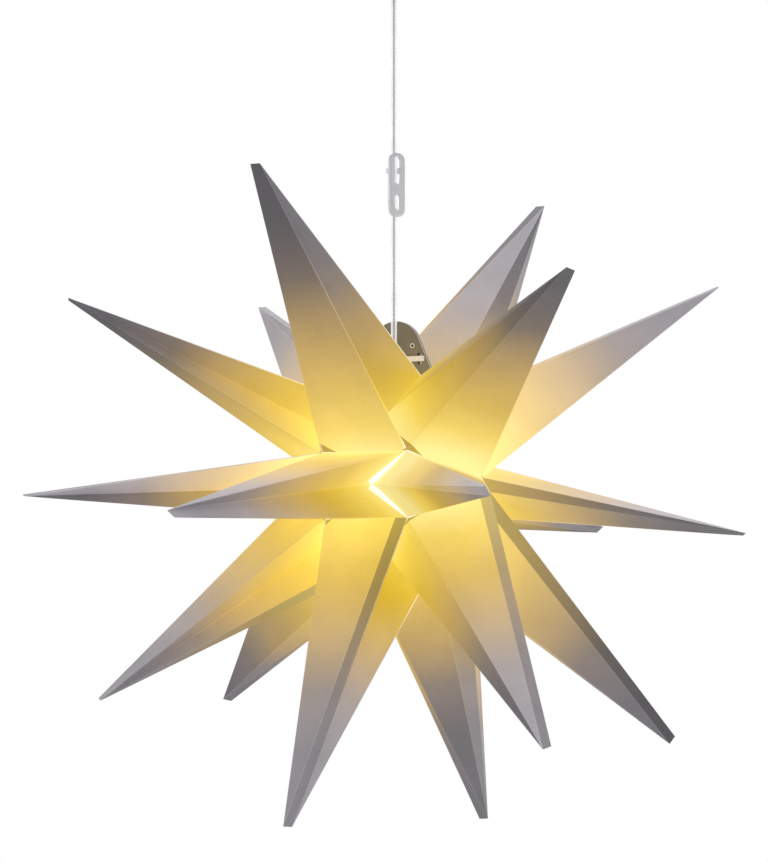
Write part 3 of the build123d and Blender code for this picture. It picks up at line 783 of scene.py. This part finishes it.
def shell(name, sheet, thickness):
    """Closed film: the sheet, the same sheet moved in along its normals, and a rim round its edge.
    The film thins out over the last stretch before its end, so that its lining stays inside."""
    count = len(sheet.vertices)
    outer, normals = np.empty(count * 3), np.empty(count * 3)
    sheet.vertices.foreach_get("co", outer)
    sheet.vertex_normals.foreach_get("vector", normals)
    outer, normals = outer.reshape(-1, 3), normals.reshape(-1, 3)
    tip = outer[np.argmax(np.linalg.norm(outer, axis=1))]
    narrowing = np.clip(np.linalg.norm(outer - tip, axis=1) / TIP_RUN, TIP_SHARE, 1)
    inner = outer - normals * (thickness * narrowing)[:, None]
    faces = [list(p.vertices) for p in sheet.polygons]
    used = {(a, b) for face in faces for a, b in zip(face, face[1:] + face[:1])}
    rim = [[b, a, a + count, b + count] for a, b in used if (b, a) not in used]
    lining = [[v + count for v in reversed(face)] for face in faces]
    mesh = bpy.data.meshes.new(name)
    verts = (np.concatenate([outer, inner]) + STAR) * METRE
    mesh.from_pydata(verts.tolist(), [], faces + lining + rim)
    fold = read_values(sheet, "fold_mm", count)
    mesh.attributes.new("fold_mm", "FLOAT", "POINT").data.foreach_set("value", np.concatenate([fold, fold]))
    edge_ones = np.ones(len(rim), np.float32)
    for key in FACE_VALUES:
        values = read_values(sheet, key, len(faces))
        # The lining carries the painted lamp light of the inside
        lined = np.ones_like(values) if key == "inside" else values
        mesh.attributes.new(key, "FLOAT", "FACE").data.foreach_set(
            "value", np.concatenate([values, lined, edge_ones * (key != "notch")])
        )
    mesh.validate()
    mesh.update()
    return mesh


def point_walls(tier, seam, names, places):
    """Walls of a point, counted from its blunt edge: the two base corners and the two end places of
    each. The first wall and the one across from it, which starts at a single corner, end along the
    blunt end. The walls between them end in one of its two places."""
    side = SIDES[seam]
    after = (seam + 1) % SEAMS
    low, high = TIERS[tier]
    count = len(places)
    azimuth, elevation, share = POINT_ENDS[tier][seam]
    end = direction(azimuth, elevation) * POINT_REACH * share
    blunt = {"upper": (low, seam), "middle": (low, after), "lower": (high, after)}[tier]
    blunt = STRIP_CORNERS.get((tier, side)) or BLUNT_EDGES.get((tier, side), blunt)
    edge = names.index(blunt)
    along = places[(edge + 1) % count] - places[edge]
    along = along / np.linalg.norm(along) * BLUNT_WIDTH / 2
    ends = end - along, end + along
    turn = turn_step(places, edge)
    order = [(edge + 1 + k) % count for k in range(count)]
    walls = [(edge, order[0], ends[0], ends[1])]
    walls += [(order[k], order[k + 1], ends[1], ends[1]) for k in range(turn)]
    walls += [(order[turn], order[turn], ends[1], ends[0])]
    walls += [(order[k], order[k + 1], ends[0], ends[0]) for k in range(turn, count - 1)]
    return walls


def point_mesh(tier, seam):
    """Film point: walls from its base outline to a blunt end, with a hem behind the base."""
    side = SIDES[seam]
    names, places = outline(tier, seam)
    strip = STRIP_CORNERS.get((tier, side))
    painted_light = FACE_PAINTED_LIGHT.get((tier, side), {})
    notches = []
    for name in names:
        plain = name[0] in ("crease", "strip") or name == strip
        notches.append(NO_NOTCH if plain else NOTCHES.get((tier, side, *name), USUAL_NOTCH))
    hem_share = 1 - HEM / np.linalg.norm(places.mean(0))
    verts, faces, folds, values = [], [], [], []
    start = 0
    for number, (i, j, p, q) in enumerate(point_walls(tier, seam, names, places)):
        slit = (0.0, True)
        for name, toward_b in ((names[j], True), (names[i], False)):
            if name[0] == "crease" and i != j:
                slit = (SLITS.get((tier, side, name[1]), 0.0), toward_b)
        pillow = 0 if names[i] == strip or i == j else rng.uniform(*SWELLS)
        wave = (rng.uniform(*WAVE_HEIGHTS), rng.uniform(*WAVE_COUNTS), rng.uniform(*WAVE_STARTS))
        points, fold, lit = wall_grid(places[i], places[j], p, q, notches[i], notches[j], slit, pillow, wave)
        rows, columns = points.shape[0] - 1, points.shape[1] - 1
        verts.append(points.reshape(-1, 3))
        faces.append(grid_faces(rows, columns, start, False))
        folds.append(fold.ravel())
        # Painted light and shade of this wall: surface levels, glow gain and glow shift
        near, far, glow, shift = painted_light.get(number, USUAL_PAINTED_LIGHT)
        cells = np.zeros((rows, columns, len(FACE_VALUES)))
        cells[..., :4] = near, far, glow, shift * METRE
        cells[:2, :, 4] = lit
        cells[:2, :, 5] = 1 - lit
        values.append(cells.reshape(-1, len(FACE_VALUES)))
        start += (rows + 1) * (columns + 1)
        if i == j:
            continue
        hem = hem_grid(points[0], hem_share)
        verts.append(hem.reshape(-1, 3))
        faces.append(grid_faces(HEM_ROWS, columns, start, True))
        folds.append(np.full((HEM_ROWS + 1) * (columns + 1), FOLD_FREE))
        values.append(np.tile(HEM_VALUES, (HEM_ROWS * columns, 1)))
        start += (HEM_ROWS + 1) * (columns + 1)
    sheet = merged(*(np.concatenate(part) for part in (verts, faces, folds, values)))
    return shell(f"film_{tier}_{side}", sheet, FILM)


# Painted light and shade of a wall, by its count from the blunt edge: its surface level near the core and
# near the end, which stands in for how the light falls on that wall, its gain of painted lamp glow, and how
# far the glow is drawn in, in millimetres
USUAL_PAINTED_LIGHT = (0.25, 0.40, 1.1, 0)
FACE_PAINTED_LIGHT = {
    ("upper", "front_left"): {0: (0.28, 0.25, 1.13, 2), 2: (0.2, 0.35, 1.13, 20)},
    ("upper", "front_right"): {
        0: (0.26, 0.3, 1.15, -15), 4: (0.03, 0.03, 1.11, 0), 5: (0.1, 0.14, 1.24, -10),
    },
    ("upper", "right"): {5: (0.7, 0.77, 1.2, 5)},
    ("upper", "back_right"): {4: (0.58, 0.88, 0.88, 36), 5: (0.62, 0.4, 1.07, 30)},
    ("upper", "back_left"): {1: (0.46, 0.52, 1.04, 0)},
    ("upper", "left"): {0: (0.13, 0.1, 1.13, 0), 1: (0.36, 0.37, 1.29, 5), 2: (0.25, 0.38, 1.23, 5)},
    ("middle", "front_left"): {
        0: (0.13, 0.61, 1.23, 0), 1: (0.36, 0.5, 1.12, 4), 2: (0.44, 0.62, 1.15, 8),
    },
    ("middle", "front_right"): {
        1: (0.25, 0.5, 1.0, -60), 2: (0.34, 0.72, 1.0, -40), 3: (0.25, 0.55, 1.0, -55),
        4: (0.12, 0.36, 1.05, -45),
    },
    ("middle", "right"): {0: (0.36, 0.35, 1.08, 24), 4: (0.42, 0.58, 1.0, 12), 5: (0.3, 0.34, 0.62, 35)},
    ("middle", "back_right"): {6: (0.03, 0.13, 0.73, -40)},
    ("middle", "left"): {1: (0.18, 0.36, 1.3, 15), 2: (0.95, 0.95, 1.06, 15)},
    ("lower", "front_left"): {
        0: (0.15, 0.5, 0.57, 15), 1: (0.22, 0.58, 1.32, 20), 6: (0.09, 0.68, 1.34, 30),
    },
    ("lower", "front_right"): {
        0: (0.34, 0.52, 0.54, 0), 1: (0.3, 0.78, 1.17, -5), 2: (0.11, 0.25, 1.33, 5),
    },
    ("lower", "right"): {0: (0.26, 0.24, 0.5, 5), 1: (0.41, 0.43, 1.22, 15)},
    ("lower", "back_right"): {2: (0.11, 0.61, 1.15, 45), 3: (0.24, 0.4, 1.31, 45)},
    ("lower", "back_left"): {4: (0.29, 0.4, 1.11, -10), 5: (0.17, 0.26, 0.97, -15)},
    ("lower", "left"): {
        0: (0.19, 0.5, 1.29, 25), 3: (0.11, 0.38, 0.69, -10), 4: (0.31, 0.55, 1.53, 20),
        5: (0.35, 0.52, 1.37, 15),
    },
}

for tier in TIERS:
    for seam, side in enumerate(SIDES):
        piece = link(f"film_{tier}_{side}", point_mesh(tier, seam), film, "star")
        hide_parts(f"point_{tier}_{side}")


# Light and background, in metres and watts
AIM = (0, 0, -0.42)
LIGHTS = {
    "top": ((0.2, 0.9, 1.1), 1.6, 16),
    "left": ((-1.9, 0.5, -0.1), 1.4, 10),
    "right": ((1.9, 0.6, -0.2), 1.4, 10),
}
SOFT_LIGHT = (0.95, 0.97, 1.0)
SOFT_STRENGTH = 0.40
FLOOR_LEVEL = -2.2
FLOOR_HALF = 4.0


def make_light(name, place, size, power):
    """Round soft light that faces the star."""
    data = bpy.data.lights.new(name, "AREA")
    data.energy = power
    data.shape = "DISK"
    data.size = size
    light = add_object(name, data)
    light.location = place
    heading = np.array(AIM) - np.array(place)
    yaw = math.atan2(heading[1], heading[0]) - math.pi / 2
    tilt = math.atan2(math.hypot(heading[0], heading[1]), -heading[2])
    light.rotation_euler = (tilt, 0, yaw)


def background(n, colour, strength):
    """Background of one colour."""
    node = n.new("ShaderNodeBackground")
    node.inputs["Color"].default_value = (*colour, 1)
    node.inputs["Strength"].default_value = strength
    return node.outputs[0]


def make_world():
    """Soft grey light all round, and plain white where the camera sees past the star."""
    world = bpy.data.worlds.new("studio")
    bpy.context.scene.world = world
    world.use_nodes = True
    n, l = world.node_tree.nodes, world.node_tree.links
    n.clear()
    path = n.new("ShaderNodeLightPath").outputs
    seen = combine(n, l, "MAXIMUM", path["Is Camera Ray"], path["Is Glossy Ray"])
    seen = combine(n, l, "MAXIMUM", seen, path["Is Transmission Ray"])
    mixer = n.new("ShaderNodeMixShader")
    l.new(seen, mixer.inputs[0])
    l.new(background(n, SOFT_LIGHT, SOFT_STRENGTH), mixer.inputs[1])
    l.new(background(n, (1, 1, 1), 1.0), mixer.inputs[2])
    l.new(mixer.outputs[0], n.new("ShaderNodeOutputWorld").inputs[0])


def make_floor():
    """Pale floor well below the star."""
    corners = ((-1, -1), (1, -1), (1, 1), (-1, 1))
    mesh = bpy.data.meshes.new("floor")
    mesh.from_pydata([(x * FLOOR_HALF, y * FLOOR_HALF, FLOOR_LEVEL) for x, y in corners], [], [(0, 1, 2, 3)])
    floor = add_object("floor", mesh)
    mesh.materials.append(plastic("floor_paint", (0.8, 0.8, 0.8), 0.6))


make_floor()
make_world()
for light_name, (light_place, light_size, light_power) in LIGHTS.items():
    make_light(light_name, light_place, light_size, light_power)
bpy.context.scene.view_settings.view_transform = "Standard"
